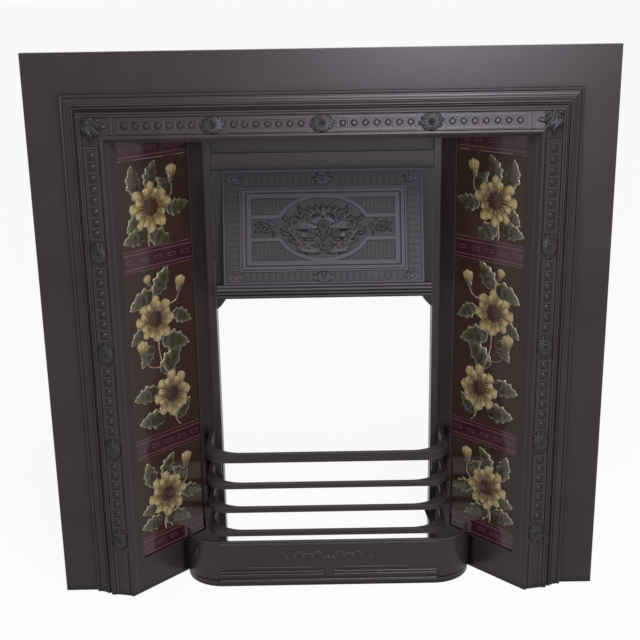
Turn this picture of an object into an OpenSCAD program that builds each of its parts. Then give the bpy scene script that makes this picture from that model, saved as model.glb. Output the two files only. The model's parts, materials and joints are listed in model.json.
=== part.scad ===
// Tiled cast iron fireplace: a front casting with splayed tile panels, a canopy hood,
// lift-off fire bars and a loose ash fret.
// X runs across, +Y runs back into the wall, +Z is up. The hearth is z = 0.

/* [Front casting] */
// Overall width of the front casting
surround_w = 965; // [940:5:1000]
// Overall height of the front casting above the hearth
surround_h = 965; // [965:5:1010]
// Width of the plain margin down each side
margin_side = 58; // [54:0.5:62]
// Width of the plain margin across the top
margin_top = 66; // [58:1:66]
// Thickness of the cast plate
plate_t = 6; // [5:0.5:7]
// Depth of the lip turned back round the outer edge
lip_depth = 14; // [10:1:20]
// Thickness of that lip
lip_t = 7; // [5:0.5:10]
// Width of the stepped moulding between the margin and the frieze
step_w = 36; // [34:0.5:37]
// Height of the last step of the moulding above the margin
step_rise = 17.5; // [17:0.5:19]
// Width of the frieze from the last step to the crest
frieze_w = 33.5; // [32:0.5:35]
// How far the crest stands in front of the margin
crest_rise = 26; // [25:0.5:30]
// Radius of the rounded crest
crest_r = 4; // [3:0.5:5]
// Width of the crest's face that turns in towards the tiles
return_w = 10; // [8:0.5:14]

/* [Frieze] */
// Spacing of the rosettes along the frieze
rosette_pitch = 176; // [160:1:180]
// Length of the ladder's cells across the frieze
cell_len = 15.2; // [13:0.2:17]
// Width of the rails along both edges of the ladder
rail_w = 4.8; // [3:0.2:5]
// Half of the length of each rosette
rosette_half = 21; // [16:0.5:22]
// Half of the height of each rosette
rosette_r = 13.6; // [11:0.2:13.8]
// Number of cells in the panel between two rosettes
cells = 7; // [5:1:8]
// Height of the cells, reeds and tongues above their ground
relief = 1.2; // [0.8:0.1:1.6]
// Height of the lowest side rosette above the hearth
side_rosette_z = 112; // [100:1:130]
// Length of the plain block left at each top corner for its carved leaf, below the crest
leaf_drop = 14; // [12:0.5:20]

/* [Tile panels] */
// Angle of the tile panels to the wall
splay = 46.7; // [44:0.1:50]
// Side of a picture tile
tile_size = 152.4; // [150:0.1:153]
// Height of the plain rail between the top tile and the crest
tiles_head = 3.5; // [3:0.5:8]
// Thickness of the tiles
tile_t = 9.5; // [8:0.5:12]
// Gap left all round each tile for its joint
tile_gap = 0.8; // [0.4:0.1:1.5]
// Distance from the crest to the tiles
rim_outer = 27; // [26:0.5:32]
// Distance from the tiles to the fire opening
rim_inner = 33.6; // [32:0.2:38]
// Height of the plain rail under the tiles
base_rail_h = 64; // [60:1:70]
// Thickness of the lip in front of the tiles
tile_lip_t = 3.5; // [3:0.5:4.5]
// How far that lip laps over the edge of the tiles
tile_lap = 1.5; // [1:0.5:3]
// Thickness of the tile panel's plate
panel_t = 5; // [4.5:0.5:6]
// How far the tile panels run up behind the frieze
panel_lap = 22.5; // [21:0.5:23]
// Thickness of the walls of the tile pocket
pocket_wall = 5; // [4:0.5:6]
// Width of the straps that hold the tiles from behind
strap_w = 22; // [18:1:28]
// Thickness of those straps
strap_t = 4; // [3:0.5:6]

/* [Fire opening] */
// Width of the jamb face that shows beside the opening
jamb_face = 12; // [11:0.5:16]
// Depth of the jamb's flange behind its face
jamb_depth = 34; // [30:1:45]
// Width of the bolting flange on the tile panels and jambs
flange_w = 27; // [24:1:32]
// Distance from the crest down to the lintel's lower edge
lintel_drop = 91.5; // [86:0.5:98]
// Height of the lintel's raised fascia
fascia_h = 43; // [36:1:50]
// Joint left open between the lintel and the jambs
lintel_gap = 1; // [0.5:0.5:2]

/* [Hood] */
// Height of the hood, from the foot of its moulding to its top
hood_h = 215; // [195:1:240]
// Height of the hood's bottom moulding
hood_mould_h = 25; // [20:1:32]
// How far the foot of the hood's panel stands in front of the jambs
hood_reach = 71; // [60:1:85]
// How far the top of the panel stands in front of the jambs
hood_top_reach = 8; // [7.5:0.5:12]
// Width of the flange beside the hood's face, each side
hood_flange = 21; // [18:0.5:24]
// Thickness of the hood's walls
hood_t = 5.5; // [4.5:0.5:6]
// Drop of the hood's shaped brackets below its moulding
bracket_drop = 38.5; // [24:0.5:42]
// Clearance between the hood and the jambs
hood_clear = 0.8; // [0.5:0.1:1.5]
// Radius of the pegs that the hood hangs on
peg_r = 4; // [3:0.5:5]
// Clearance round a peg in its hook
peg_clear = 0.5; // [0.3:0.1:0.8]

/* [Hood ornament] */
// Width of the border of tongues down each side of the hood
border_side = 29; // [25:0.5:34]
// Width of the border of tongues along the foot of the hood
border_foot = 21.5; // [18:0.5:26]
// Width of the border of tongues along the top of the hood
border_top = 31; // [26:0.5:34]
// Width of the raised frame at each side
frame_side = 20.5; // [16:0.5:24]
// Width of the raised frame at the top and foot
frame_end = 18.5; // [14:0.5:20]
// Half of the width of the oval's opening
oval_half_w = 78; // [70:0.5:82]
// Width of the flat band round the oval and its arms
band_w = 6; // [4:0.5:7]
// Height of the arms beside the oval, inside their bands
arm_h = 34; // [26:1:40]
// Height of the flat band above its ground
band_rise = 2.4; // [1.5:0.1:3]
// Spacing of the tongues in the border
tongue_pitch = 11; // [10:0.1:13]
// Width of a tongue
tongue_w = 7.6; // [6:0.1:8.6]
// Spacing of the reeds
reed_pitch = 7.1; // [6:0.1:9]
// Width of a reed
reed_w = 3.4; // [2.6:0.1:4.2]

/* [Fire bars] */
// Height of the top bar's upper edge above the hearth
bars_top = 265.5; // [260:0.5:275]
// Height of the top bar
top_bar_h = 17; // [15:0.5:20]
// Height of each lower bar
bar_h = 9.5; // [8:0.5:12]
// Depth of the bars from front to back
bar_d = 8; // [7:0.5:10]
// Opening between the top bar and the next
top_gap = 41; // [38:1:44]
// Spacing of the lower bars
bar_pitch = 47; // [45:0.5:48]
// How far the bars reach past the fire opening on each side
bars_over = 21; // [19:0.5:23]
// Radius of the bars' front corners, outside
bar_corner_r = 38; // [30:1:50]
// Radius of the bars' front corners, inside
bar_inner_r = 58; // [46:1:64]
// Distance from the margin's face back to the front of the bars
bars_setback = 0; // [0:1:12]
// Clearance between the hooks of the bars and their brackets
hook_clear = 1; // [0.5:0.1:1.5]

/* [Ash fret] */
// Height of the ash fret
fret_h = 88; // [82:1:94]
// How far the ash fret reaches past the bars on each side
fret_over = 46.5; // [32:0.5:52]
// Distance from the margin's face back to the fret's foot
fret_setback = 4; // [2:1:10]
// Radius of the fret's front corners
fret_corner_r = 66; // [50:1:68]
// Thickness of the fret's wall
fret_t = 6; // [5:0.5:8]
// How far the fret's foot moulding stands out from its wall
fret_mould_d = 4; // [3:0.5:5]
// Height of the fret's foot moulding
fret_mould_h = 29.5; // [27:0.5:32]
// Width of the notch in the middle of the foot moulding
fret_notch_w = 20; // [14:1:24]
// Clearance between the ends of the fret and the tile panels
fret_clear = 0.8; // [0.5:0.1:2]

/* [Fixings] */
// Radius of the bolts and studs
bolt_r = 4; // [3.5:0.5:4.5]
// Clearance of a bolt in a plain hole
bolt_clear = 0.5; // [0.3:0.1:0.6]
// Clearance of a bolt in a tapped hole
tap_clear = 0.05; // [0.02:0.01:0.1]
// Height of a bolt head or nut
nut_h = 6.5; // [5:0.5:8]
// Width of a bolt head or nut across its corners
nut_w = 15; // [13:0.5:17]
// Radius of the strap screws
screw_r = 3; // [2.5:0.5:3.5]
// Radius of the holes in the wall lugs
lug_hole_r = 4.5; // [4:0.5:6]
// Distance of the lug holes behind the margin's face
lug_reach = 32; // [28:1:40]

/* [Hidden] */

$fn = 48;
iron = [0.20, 0.19, 0.20];
maroon = [0.28, 0.07, 0.10];
steel = [0.35, 0.34, 0.33];
cut = 1; // how far a cutting solid runs past the face that it cuts

// Plan of the front casting
mould_w = step_w + frieze_w;
mould_x = surround_w / 2 - margin_side;
mould_z = surround_h - margin_top;
crest_x = mould_x - mould_w;
crest_y = -crest_rise;
crest_z = mould_z - mould_w;

// Members of the stepped moulding, from the margin inwards
bead_r = 3;
fillet_w = 2.2;
cavetto_w = 8.3;
cavetto_rise = 5;
quirk_w = 3;
quirk_d = 1.8;
reed_r = 2.1;
nose_r = 2.1;
back_step = 10; // hollow behind the moulding starts this far in from the margin

// Plan of a tile panel: t runs from the crest towards the fire, y out of the face
panel_w = rim_outer + tile_size + rim_inner;
open_x = crest_x - panel_w * cos(splay);
open_y = crest_y + panel_w * sin(splay);
seam = 0.3; // joint between the tile panels and the back of the front casting
panel_start = return_w + seam;
notch_y = crest_y + crest_r + plate_t + 4.5;
pocket_d = tile_lip_t + tile_t;
tiles_z = base_rail_h;
tiles_top = crest_z - tiles_head;
border_h = (tiles_top - tiles_z) / 4 - tile_size; // the border tiles share the height that is left
pocket_gap = tile_gap / 2;
screw_off = 14; // strap screws sit this far above and below the tiles
panel_top = crest_z + panel_lap;
strap_ts = [rim_outer + tile_size * 0.2, rim_outer + tile_size * 0.8];
screw_boss_r = screw_r + 4;

// Bolting tabs between the tile panels and the front casting
tab_h = 40;
tab_t = 6;
tab_y = 8; // front face of the tabs
tab_zs = [120, 470, crest_z - 54.5];
boss_x = mould_x - step_w - 0.5;
boss_r = bolt_r + 5;
boss_front = -11;
tap_depth = 14;
tab_outer_x = boss_x + boss_r;
web_t = pocket_wall + 2;
web_d = 26;

// Jambs, lintel and the studs that hold them
jamb_x = open_x - jamb_face;
jamb_t = plate_t;
back_y = open_y + jamb_depth;
flange_x = open_x + flange_w;
flange_t = 6;
stud_x = open_x + flange_w * 0.55;
lintel_z = crest_z - lintel_drop;
stud_zs = [90, 330, lintel_z - 98];
ear_z = lintel_z + 62;
stud_len = 26;
lintel_ear_t = plate_t;
lintel_lap = 14;
soffit_t = plate_t;

// Hood
hood_half = jamb_x - hood_clear;
face_half = hood_half - hood_flange;
hood_back = open_y - hood_clear;
hood_foot_y = open_y - hood_reach;
hood_top_y = open_y - hood_top_reach;
hood_top_z = lintel_z + 14;
hood_z = hood_top_z - hood_h;
hood_panel_z = hood_z + hood_mould_h;
hood_rise = hood_top_z - hood_panel_z;
hood_run = hood_top_y - hood_foot_y;
hood_slope = sqrt(hood_rise * hood_rise + hood_run * hood_run);
hood_lean = atan2(hood_rise, hood_run);
hood_mould_d = 12;
hood_mould_over = 12;
hook_y = open_y + 19;
hook_zs = [hood_z + 58, hood_top_z - 62];
hook_depth = 8; // from the hook's mouth up to the middle of the peg
hook_h = 34;
hook_tail = 12;

// Fire bars
bars_y = bars_setback;
lowest_bar_z = bars_top - top_bar_h - top_gap - bar_h - 2 * bar_pitch;
post_w = bar_d;
bars_end_gap = 2.5;

// Ash fret
fret_y = fret_setback;

// Wall lugs
lug_zs = [250, 720];
lug_t = 6;
lug_h = 40;
lug_x = mould_x + 12;

// The whole is set so that the origin is the middle of its footprint
shift_y = -(back_y + crest_y) / 2;

function panel_pt(t, y) = [crest_x - t * cos(splay) - y * sin(splay),
    crest_y + t * sin(splay) - y * cos(splay)];
function arc_pts(cx, cy, r, a0, a1, n) =
    [for (i = [0:n]) let (a = a0 + (a1 - a0) * i / n) [cx + r * cos(a), cy + r * sin(a)]];
// Quarter curve, hollow, which starts flat
function hollow_pts(x, y, w, h, n) =
    [for (i = [0:n]) let (a = 90 * i / n) [x + w * sin(a), y + h * (1 - cos(a))]];

module placed() translate([0, shift_y, 0]) children();
module both_sides() for (side = [0, 1]) mirror([side, 0, 0]) children();
module left_hand() mirror([1, 0, 0]) children();
// Local x runs from the crest to the fire, local y out of the panel's face
module on_panel() translate([crest_x, crest_y, 0]) rotate([0, 0, 180 - splay]) children();
// A flat outline drawn in x and z, from y0 back to y1
module face_plate(y0, y1) translate([0, y1, 0]) rotate([90, 0, 0]) linear_extrude(y1 - y0) children();
// A flat outline drawn in y and z, from x0 to x1
module side_plate(x0, x1) translate([x0, 0, 0]) rotate([90, 0, 90]) linear_extrude(x1 - x0) children();

// ---- Front casting ----

function bead_top() = 5;
function moulding_face() = let (
    y1 = bead_top(),
    x1 = 2 * bead_r + fillet_w,
    x2 = x1 + cavetto_w,
    y2 = y1 + 1.4 + cavetto_rise,
    x3 = x2 + quirk_w,
    x4 = x3 + 2 * reed_r,
    nose_x = mould_w - crest_r * tan(splay / 2),
    nose_y = crest_rise - crest_r
) concat(
    [[0, -plate_t]],
    arc_pts(bead_r, y1 - bead_r / 2, bead_r, 180, 30, 5),
    [[x1 - fillet_w / 2, y1 + 0.2], [x1 - 0.6, y1 + 1.4]],
    hollow_pts(x1, y1 + 1.4, cavetto_w, cavetto_rise, 5),
    [[x2 + 0.9, y2], [x2 + 1.2, y2 - quirk_d], [x3 - 0.1, y2 - quirk_d]],
    arc_pts(x3 + reed_r, y2 + 0.2, reed_r, 180, 20, 5),
    [[x4 + 0.4, y2 + 0.4], [x4 + 2, y2 + 0.4], [x4 + 2.8, y2 + 3]],
    arc_pts(step_w - 3 * nose_r, step_rise - 1, nose_r, 150, 40, 4),
    arc_pts(step_w - nose_r, step_rise, nose_r, 140, 0, 4),
    [[nose_x - crest_r - 0.3, crest_rise - 3]],
    arc_pts(nose_x, nose_y, crest_r, 150, 90, 3),
    arc_pts(nose_x, nose_y, crest_r, 75, 90 - splay, 3),
    [[mould_w + return_w * cos(splay), crest_rise - return_w * sin(splay)]]
);
function moulding_back() = [
    [mould_w + return_w * cos(splay) - plate_t * sin(splay),
        crest_rise - return_w * sin(splay) - plate_t * cos(splay)],
    [mould_w - 6, crest_rise - plate_t - crest_r],
    [step_w + 1, step_rise - plate_t - 0.5],
    [step_w / 2 + 3, step_rise / 2 - plate_t + 1.5],
    [back_step, -plate_t]
];
moulding_pts = concat(moulding_face(), moulding_back());
mitre = mould_w + return_w + 10;

module moulding_side() intersection() {
    linear_extrude(mould_z) polygon([for (p = moulding_pts) [mould_x - p[0], -p[1]]]);
    face_plate(crest_y - cut, plate_t + cut) polygon([
        [mould_x + cut, -cut], [mould_x + cut, mould_z + cut],
        [mould_x - mitre, mould_z - mitre], [mould_x - mitre, -cut]]);
}

module moulding_top() intersection() {
    side_plate(-mould_x, mould_x) polygon([for (p = moulding_pts) [-p[1], mould_z - p[0]]]);
    face_plate(crest_y - cut, plate_t + cut) polygon([
        [-mould_x - cut, mould_z + cut], [mould_x + cut, mould_z + cut],
        [mould_x - mitre, mould_z - mitre], [-mould_x + mitre, mould_z - mitre]]);
}

// A flat arch: the outer frame less a middle part that is open at the foot
module arch(w, h, inner_w, inner_h) difference() {
    translate([-w / 2, 0]) square([w, h]);
    translate([-inner_w / 2, -cut]) square([inner_w, inner_h + cut]);
}

// Ground of the frieze: it leans forward from the last step to the crest
frieze_edge = crest_r + 2; // plain strip between the ornament and the crest
frieze_run = frieze_w - frieze_edge;
frieze_lean = atan2(crest_rise - 3 - step_rise, frieze_run);
frieze_len = sqrt(pow(crest_rise - 3 - step_rise, 2) + pow(frieze_run, 2));
side_count = floor((crest_z - leaf_drop - rosette_pitch / 2 - side_rosette_z) / rosette_pitch);
// Local x along the frieze, local y up its slope from the crest, local z out of it
module on_top_frieze() translate([0, 3 - crest_rise, mould_z - mould_w + frieze_edge])
    rotate([90 - frieze_lean, 0, 0]) children();
module on_side_frieze(z) translate([mould_x - mould_z, 0, z]) rotate([0, 90, 0]) on_top_frieze() children();

// Outline of a pointed leaf, l long and w to each side of its rib
function leaf_pts(l, w) = [[0, -w], [l * 0.4, -w * 0.9], [l * 0.75, -w * 0.45], [l, 0],
    [l * 0.75, w * 0.45], [l * 0.4, w * 0.9], [0, w]];

// Outline of a leafy boss, w by h from its middle, with n pointed leaves
function boss_pts(w, h, n) = [for (i = [0:2 * n - 1]) let (a = 180 / n * (i + 0.5), k = i % 2 ? 1 : 0.78)
    [w * k * cos(a), h * k * sin(a)]];
// A boss with two rings of leaves round a button
module rosette(w, h) {
    linear_extrude(relief + 1) polygon(boss_pts(w, h, 10));
    linear_extrude(relief + 1.9) polygon(boss_pts(w * 0.66, h * 0.66, 8));
    cylinder(r1 = h * 0.36, r2 = h * 0.22, h = relief + 2.7);
}

// A ladder of n cells between two rails, each cell with a bead in it
ladder_h = cell_len + 2 * rail_w;
ladder_edge = 1.6; // groove between the crest's plain strip and the ladder
module rails(x0, x1) for (y = [0, ladder_h - rail_w])
    translate([x0, ladder_edge + y, -1]) cube([x1 - x0, rail_w, relief + 1]);
module cell_panel(length, n) let (pitch = length / n) translate([-length / 2, ladder_edge, 0]) {
    translate([0, 0, -1]) linear_extrude(relief + 1) difference() {
        translate([-1.4, 0]) square([length + 2.8, ladder_h]);
        for (i = [0:n - 1]) translate([pitch * i + 1.4, rail_w]) square([pitch - 2.8, cell_len]);
    }
    for (i = [0:n - 1]) translate([pitch * (i + 0.5), ladder_h / 2, -1])
        cylinder(r1 = cell_len * 0.42, r2 = cell_len * 0.2, h = relief + 2);
}

// A bar across the frieze, which closes off the leaf block of the corner
module frieze_stop() translate([-1.5, 0.2, -1]) cube([3, frieze_len - 0.6, relief + 1.6]);

rosette_gap = rosette_half + 3.4;
panel_run = rosette_pitch - 2 * rosette_gap;
stop_x = 2 * rosette_pitch - rosette_gap + 12;
stop_z = crest_z - leaf_drop;
last_z = side_rosette_z + side_count * rosette_pitch;
head_run = stop_z - 4 - last_z - rosette_gap;
module frieze_ornament() {
    on_top_frieze() {
        for (i = [-1:1]) translate([i * rosette_pitch, ladder_edge + ladder_h / 2, -1])
            rosette(rosette_half, rosette_r);
        for (i = [-1.5:1:1.5]) translate([i * rosette_pitch, 0, 0]) cell_panel(panel_run, cells);
        for (x = [-stop_x, stop_x]) translate([x, 0, 0]) frieze_stop();
    }
    both_sides() {
        for (i = [0:side_count]) on_side_frieze(side_rosette_z + i * rosette_pitch)
            translate([0, ladder_edge + ladder_h / 2, -1]) rosette(rosette_half, rosette_r);
        for (i = [0:side_count - 1]) on_side_frieze(side_rosette_z + (i + 0.5) * rosette_pitch)
            cell_panel(panel_run, cells);
        on_side_frieze(stop_z - 4 - head_run / 2) cell_panel(head_run, cells + 1);
        on_side_frieze(0) rails(rosette_gap - side_rosette_z, -2);
        on_side_frieze(stop_z) frieze_stop();
    }
}

module wall_lug(z) difference() {
    side_plate(lug_x, lug_x + lug_t) {
        translate([plate_t - cut, z - lug_h / 2]) square([lug_reach - plate_t + cut, lug_h]);
        translate([lug_reach, z]) circle(lug_h / 2);
    }
    translate([lug_x - cut, lug_reach, z]) rotate([0, 90, 0]) cylinder(r = lug_hole_r, h = lug_t + 2 * cut);
}

module surround_frame() color(iron) placed() difference() {
    union() {
        face_plate(0, plate_t) arch(surround_w, surround_h, 2 * mould_x, mould_z);
        face_plate(0, lip_depth)
            arch(surround_w, surround_h, surround_w - 2 * lip_t, surround_h - lip_t);
        moulding_top();
        frieze_ornament();
        both_sides() {
            moulding_side();
            for (z = tab_zs)
                translate([boss_x, boss_front, z]) rotate([-90, 0, 0])
                    cylinder(r = boss_r, h = tab_y - boss_front);
            for (z = lug_zs) wall_lug(z);
        }
    }
    both_sides() for (z = tab_zs)
        translate([boss_x, tab_y - tap_depth, z]) rotate([-90, 0, 0])
            cylinder(r = bolt_r + tap_clear, h = tap_depth + cut);
}

// ---- Tile panels ----

module panel_plan() polygon([panel_pt(panel_start, 0), panel_pt(panel_w, 0),
    panel_pt(panel_w - panel_t / tan(splay), -panel_t), panel_pt(panel_start, -panel_t)]);

module panel_flange_plan() polygon([[open_x, open_y], [flange_x, open_y],
    [flange_x, open_y - flange_t], [open_x + flange_t / tan(splay), open_y - flange_t]]);

// A block in the panel's own frame, from t0 to t1, y0 to y1 and z0 to z1
module panel_block(t0, t1, y0, y1, z0, z1) on_panel()
    translate([t0, y0, z0]) cube([t1 - t0, y1 - y0, z1 - z0]);

module tile_frame() difference() {
    union() {
        linear_extrude(panel_top) union() {
            panel_plan();
            panel_flange_plan();
        }
        panel_block(rim_outer - pocket_gap - pocket_wall, rim_outer + tile_size + pocket_gap + pocket_wall,
            -pocket_d, -1, tiles_z - pocket_gap - pocket_wall, tiles_top + pocket_gap + pocket_wall);
        for (t = strap_ts, z = [tiles_z - screw_off, tiles_top + screw_off])
            on_panel() translate([t, -1, z]) rotate([90, 0, 0]) cylinder(r = screw_boss_r, h = pocket_d - 1);
        for (z = tab_zs) translate([0, 0, z - tab_h / 2]) bolting_tab();
    }
    // the window, then the pocket behind its lip
    panel_block(rim_outer + tile_lap, rim_outer + tile_size - tile_lap, -panel_t - pocket_d, cut,
        tiles_z + tile_lap, tiles_top - tile_lap);
    panel_block(rim_outer - pocket_gap, rim_outer + tile_size + pocket_gap, -pocket_d - cut, -tile_lip_t,
        tiles_z - pocket_gap, tiles_top + pocket_gap);
    // the top corner is cut back to clear the crest of the frieze above it
    translate([open_x, crest_y - cut, crest_z - return_w * cos(splay) - seam])
        cube([crest_x - open_x, notch_y - crest_y + cut, panel_lap + return_w + cut]);
    for (z = tab_zs) translate([boss_x, tab_y - cut, z]) rotate([-90, 0, 0])
        cylinder(r = bolt_r + bolt_clear, h = tab_t + 2 * cut);
    for (z = concat(stud_zs, [ear_z])) translate([stud_x, open_y - flange_t - cut, z]) rotate([-90, 0, 0])
        cylinder(r = bolt_r + tap_clear, h = flange_t + 2 * cut);
    for (t = strap_ts, z = [tiles_z - screw_off, tiles_top + screw_off])
        on_panel() translate([t, -panel_t, z]) rotate([90, 0, 0])
            cylinder(r = screw_r + tap_clear, h = pocket_d);
}

module bolting_tab() linear_extrude(tab_h) union() {
    polygon([panel_pt(rim_outer - pocket_gap - web_t, 0 - 1), panel_pt(rim_outer - pocket_gap, 0 - 1),
        panel_pt(rim_outer - pocket_gap, -web_d), panel_pt(rim_outer - pocket_gap - web_t, -web_d)]);
    translate([panel_pt(rim_outer - pocket_gap, -web_d)[0], tab_y])
        square([tab_outer_x - panel_pt(rim_outer - pocket_gap, -web_d)[0], tab_t]);
}

module right_tile_frame() color(iron) placed() tile_frame();
module left_tile_frame() color(iron) placed() left_hand() tile_frame();

// Foot of each tile: border, picture, border, two pictures, border, picture, border
picture_z = [for (n = [1:4]) tiles_z + border_h * [1, 2, 2, 3][n - 1] + tile_size * (n - 1)];
border_z = [for (n = [1:4]) tiles_z + border_h * (n - 1) + tile_size * [0, 1, 3, 4][n - 1]];

module tile(z, h) color(maroon) on_panel()
    translate([rim_outer + tile_gap / 2, -pocket_d, z + tile_gap / 2])
        cube([tile_size - tile_gap, tile_t, h - tile_gap]);
// Moulded lines along a border tile, with a row of dashes between them
line_h = 0.8;
dashes = 5;
module border_relief(z) on_panel() translate([0, -tile_lip_t - 1, z]) {
    for (v = [border_h * 0.14, border_h * 0.8])
        translate([rim_outer + 3, 0, v]) cube([tile_size - 6, 1 + line_h, 2]);
    for (i = [0:dashes - 1]) translate([rim_outer + tile_size * (i + 0.5) / dashes - 8, 0, border_h * 0.42])
        cube([16, 1 + line_h, border_h * 0.16]);
}
module picture_tile(n) placed() tile(picture_z[n - 1], tile_size);
module border_tile(n) placed() union() {
    tile(border_z[n - 1], border_h);
    color(maroon) border_relief(border_z[n - 1]);
}

module right_tile_1() picture_tile(1);
module right_tile_2() picture_tile(2);
module right_tile_3() picture_tile(3);
module right_tile_4() picture_tile(4);
module right_border_tile_1() border_tile(1);
module right_border_tile_2() border_tile(2);
module right_border_tile_3() border_tile(3);
module right_border_tile_4() border_tile(4);
module left_tile_1() left_hand() picture_tile(1);
module left_tile_2() left_hand() picture_tile(2);
module left_tile_3() left_hand() picture_tile(3);
module left_tile_4() left_hand() picture_tile(4);
module left_border_tile_1() left_hand() border_tile(1);
module left_border_tile_2() left_hand() border_tile(2);
module left_border_tile_3() left_hand() border_tile(3);
module left_border_tile_4() left_hand() border_tile(4);

// Flat straps behind the tiles, screwed to bosses above and below them
strap_end = screw_off + 8;
module tile_straps() color(steel) placed() for (t = strap_ts) difference() {
    panel_block(t - strap_w / 2, t + strap_w / 2, -pocket_d - strap_t, -pocket_d,
        tiles_z - strap_end, tiles_top + strap_end);
    for (z = [tiles_z - screw_off, tiles_top + screw_off])
        on_panel() translate([t, -pocket_d + cut, z]) rotate([90, 0, 0])
            cylinder(r = screw_r + bolt_clear, h = strap_t + 2 * cut);
}
module right_tile_straps() tile_straps();
module left_tile_straps() left_hand() tile_straps();

module strap_screws() color(steel) placed() both_sides()
    for (t = strap_ts, z = [tiles_z - screw_off, tiles_top + screw_off])
        on_panel() translate([t, -pocket_d, z]) rotate([90, 0, 0]) {
            translate([0, 0, strap_t]) cylinder(r = screw_r * 2, h = screw_r * 1.4, $fn = 6);
            translate([0, 0, panel_t + 2 - pocket_d])
                cylinder(r = screw_r, h = pocket_d - panel_t - 2 + strap_t + cut);
        }

module frame_bolts() color(steel) placed() both_sides() for (z = tab_zs)
    translate([boss_x, tab_y, z]) rotate([-90, 0, 0]) {
        translate([0, 0, tab_t]) cylinder(d = nut_w, h = nut_h, $fn = 6);
        translate([0, 0, 2 - tap_depth]) cylinder(r = bolt_r, h = tap_depth - 2 + tab_t + cut);
    }

// ---- Jambs and lintel ----

// Bracket on a jamb that the fire bars hook on: a shelf with an upstand, drawn in y and z
bracket_d = 14.2;
bracket_x = jamb_x + 2;
bracket_w = jamb_x + bars_over - bar_d - hook_clear - bracket_x;
bracket_z = lowest_bar_z + 72;
shelf_t = 6;
upstand_h = 10;
upstand_t = 4;
module bar_bracket() side_plate(bracket_x, bracket_x + bracket_w) {
    translate([open_y - bracket_d, bracket_z]) square([bracket_d + cut, shelf_t]);
    translate([open_y - bracket_d, bracket_z]) square([upstand_t, shelf_t + upstand_h]);
    polygon([[open_y + cut, bracket_z - bracket_d / 2], [open_y + cut, bracket_z + cut],
        [open_y - bracket_d, bracket_z + cut], [open_y - bracket_d, bracket_z]]);
}

module jamb() difference() {
    union() {
        linear_extrude(panel_top) translate([jamb_x, open_y]) square([flange_x - jamb_x, jamb_t]);
        linear_extrude(lintel_z - cut) translate([jamb_x, open_y]) square([jamb_t, jamb_depth]);
        for (z = hook_zs) translate([jamb_x - 8, hook_y, z]) rotate([0, 90, 0])
            cylinder(r = peg_r, h = 8 + jamb_t);
        bar_bracket();
    }
    for (z = concat(stud_zs, [ear_z])) translate([stud_x, open_y - cut, z]) rotate([-90, 0, 0])
        cylinder(r = bolt_r + bolt_clear, h = jamb_t + 2 * cut);
}

// Lug that carries the bottom grate, seen past the right jamb
grate_lug_z = 84;
grate_lug_h = 24;
module grate_lug(reach) face_plate(open_y + 8, open_y + 24) polygon([
    [jamb_x + jamb_t, grate_lug_z], [jamb_x - reach, grate_lug_z], [jamb_x - reach, grate_lug_z - 5],
    [jamb_x, grate_lug_z - grate_lug_h], [jamb_x + jamb_t, grate_lug_z - grate_lug_h]]);

module right_jamb() color(iron) placed() union() {
    jamb();
    grate_lug(7.5);
}
module left_jamb() color(iron) placed() left_hand() jamb();

lintel_half = jamb_x - lintel_gap;
soffit_pts = [panel_pt(panel_start + 8, -10), [flange_x, open_y - 10],
    [flange_x, open_y + jamb_t + lintel_ear_t]];
module lintel() color(iron) placed() difference() {
    union() {
        face_plate(open_y, open_y + plate_t)
            translate([-lintel_half, lintel_z]) square([2 * lintel_half, fascia_h]);
        face_plate(open_y + jamb_t, open_y + jamb_t + lintel_ear_t)
            translate([-flange_x, lintel_z + 3]) square([2 * flange_x, panel_top - lintel_z - 3]);
        // the top plate, which closes the recess up to the back of the frieze
        translate([0, 0, panel_top]) linear_extrude(soffit_t)
            polygon(concat(soffit_pts, [for (i = [2:-1:0]) [-soffit_pts[i][0], soffit_pts[i][1]]]));
    }
    both_sides() translate([stud_x, open_y, ear_z]) rotate([-90, 0, 0])
        cylinder(r = bolt_r + bolt_clear, h = 30);
}

module jamb_studs() color(steel) placed() both_sides() {
    for (z = stud_zs) translate([stud_x, open_y - flange_t, z]) rotate([-90, 0, 0])
        cylinder(r = bolt_r, h = stud_len);
    translate([stud_x, open_y - flange_t, ear_z]) rotate([-90, 0, 0])
        cylinder(r = bolt_r, h = stud_len + lintel_ear_t);
}

module nut(y, z) translate([stud_x, y, z]) rotate([-90, 0, 0]) difference() {
    cylinder(d = nut_w, h = nut_h, $fn = 6);
    translate([0, 0, -cut]) cylinder(r = bolt_r + tap_clear, h = nut_h + 2 * cut);
}
module jamb_nuts() color(steel) placed() both_sides() {
    for (z = stud_zs) nut(open_y + jamb_t, z);
    nut(open_y + jamb_t + lintel_ear_t, ear_z);
}

// ---- Hood ----

// Local x across, local y up the sloping panel, local z out of its face
module on_hood() translate([0, hood_foot_y, hood_panel_z]) rotate([hood_lean, 0, 0]) children();

// One side of the hood, drawn in y and z: upright at the back, sloping at the front
bracket_nose = 12;
bracket_step = 15; // how far the side runs down to the flange below the moulding's foot
function side_pts() = concat(
    [[hood_foot_y, hood_z], [hood_foot_y, hood_panel_z], [hood_top_y, hood_top_z],
        [hood_back, hood_top_z], [hood_back, hood_z - bracket_step]],
    [for (i = [1:8]) let (u = i / 8) [hood_back - (hood_back - hood_foot_y - bracket_nose) * u,
        hood_z - bracket_step * (1 - u * u * (3 - 2 * u))]]);
module hood_side() side_plate(face_half - hood_t, face_half) polygon(side_pts());

// The flange that closes the opening beside the face; it swells down to the jamb as a bracket
module hood_wing() face_plate(hood_back - hood_t, hood_back) polygon(concat(
    [[hood_half, hood_top_z], [face_half - hood_t, hood_top_z], [face_half - hood_t, hood_z - bracket_step]],
    [for (i = [0:8]) let (u = i / 8) [face_half + hood_flange * u,
        hood_z - bracket_drop + (bracket_drop - bracket_step) * pow(1 - u, 1.4)]]));

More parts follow.
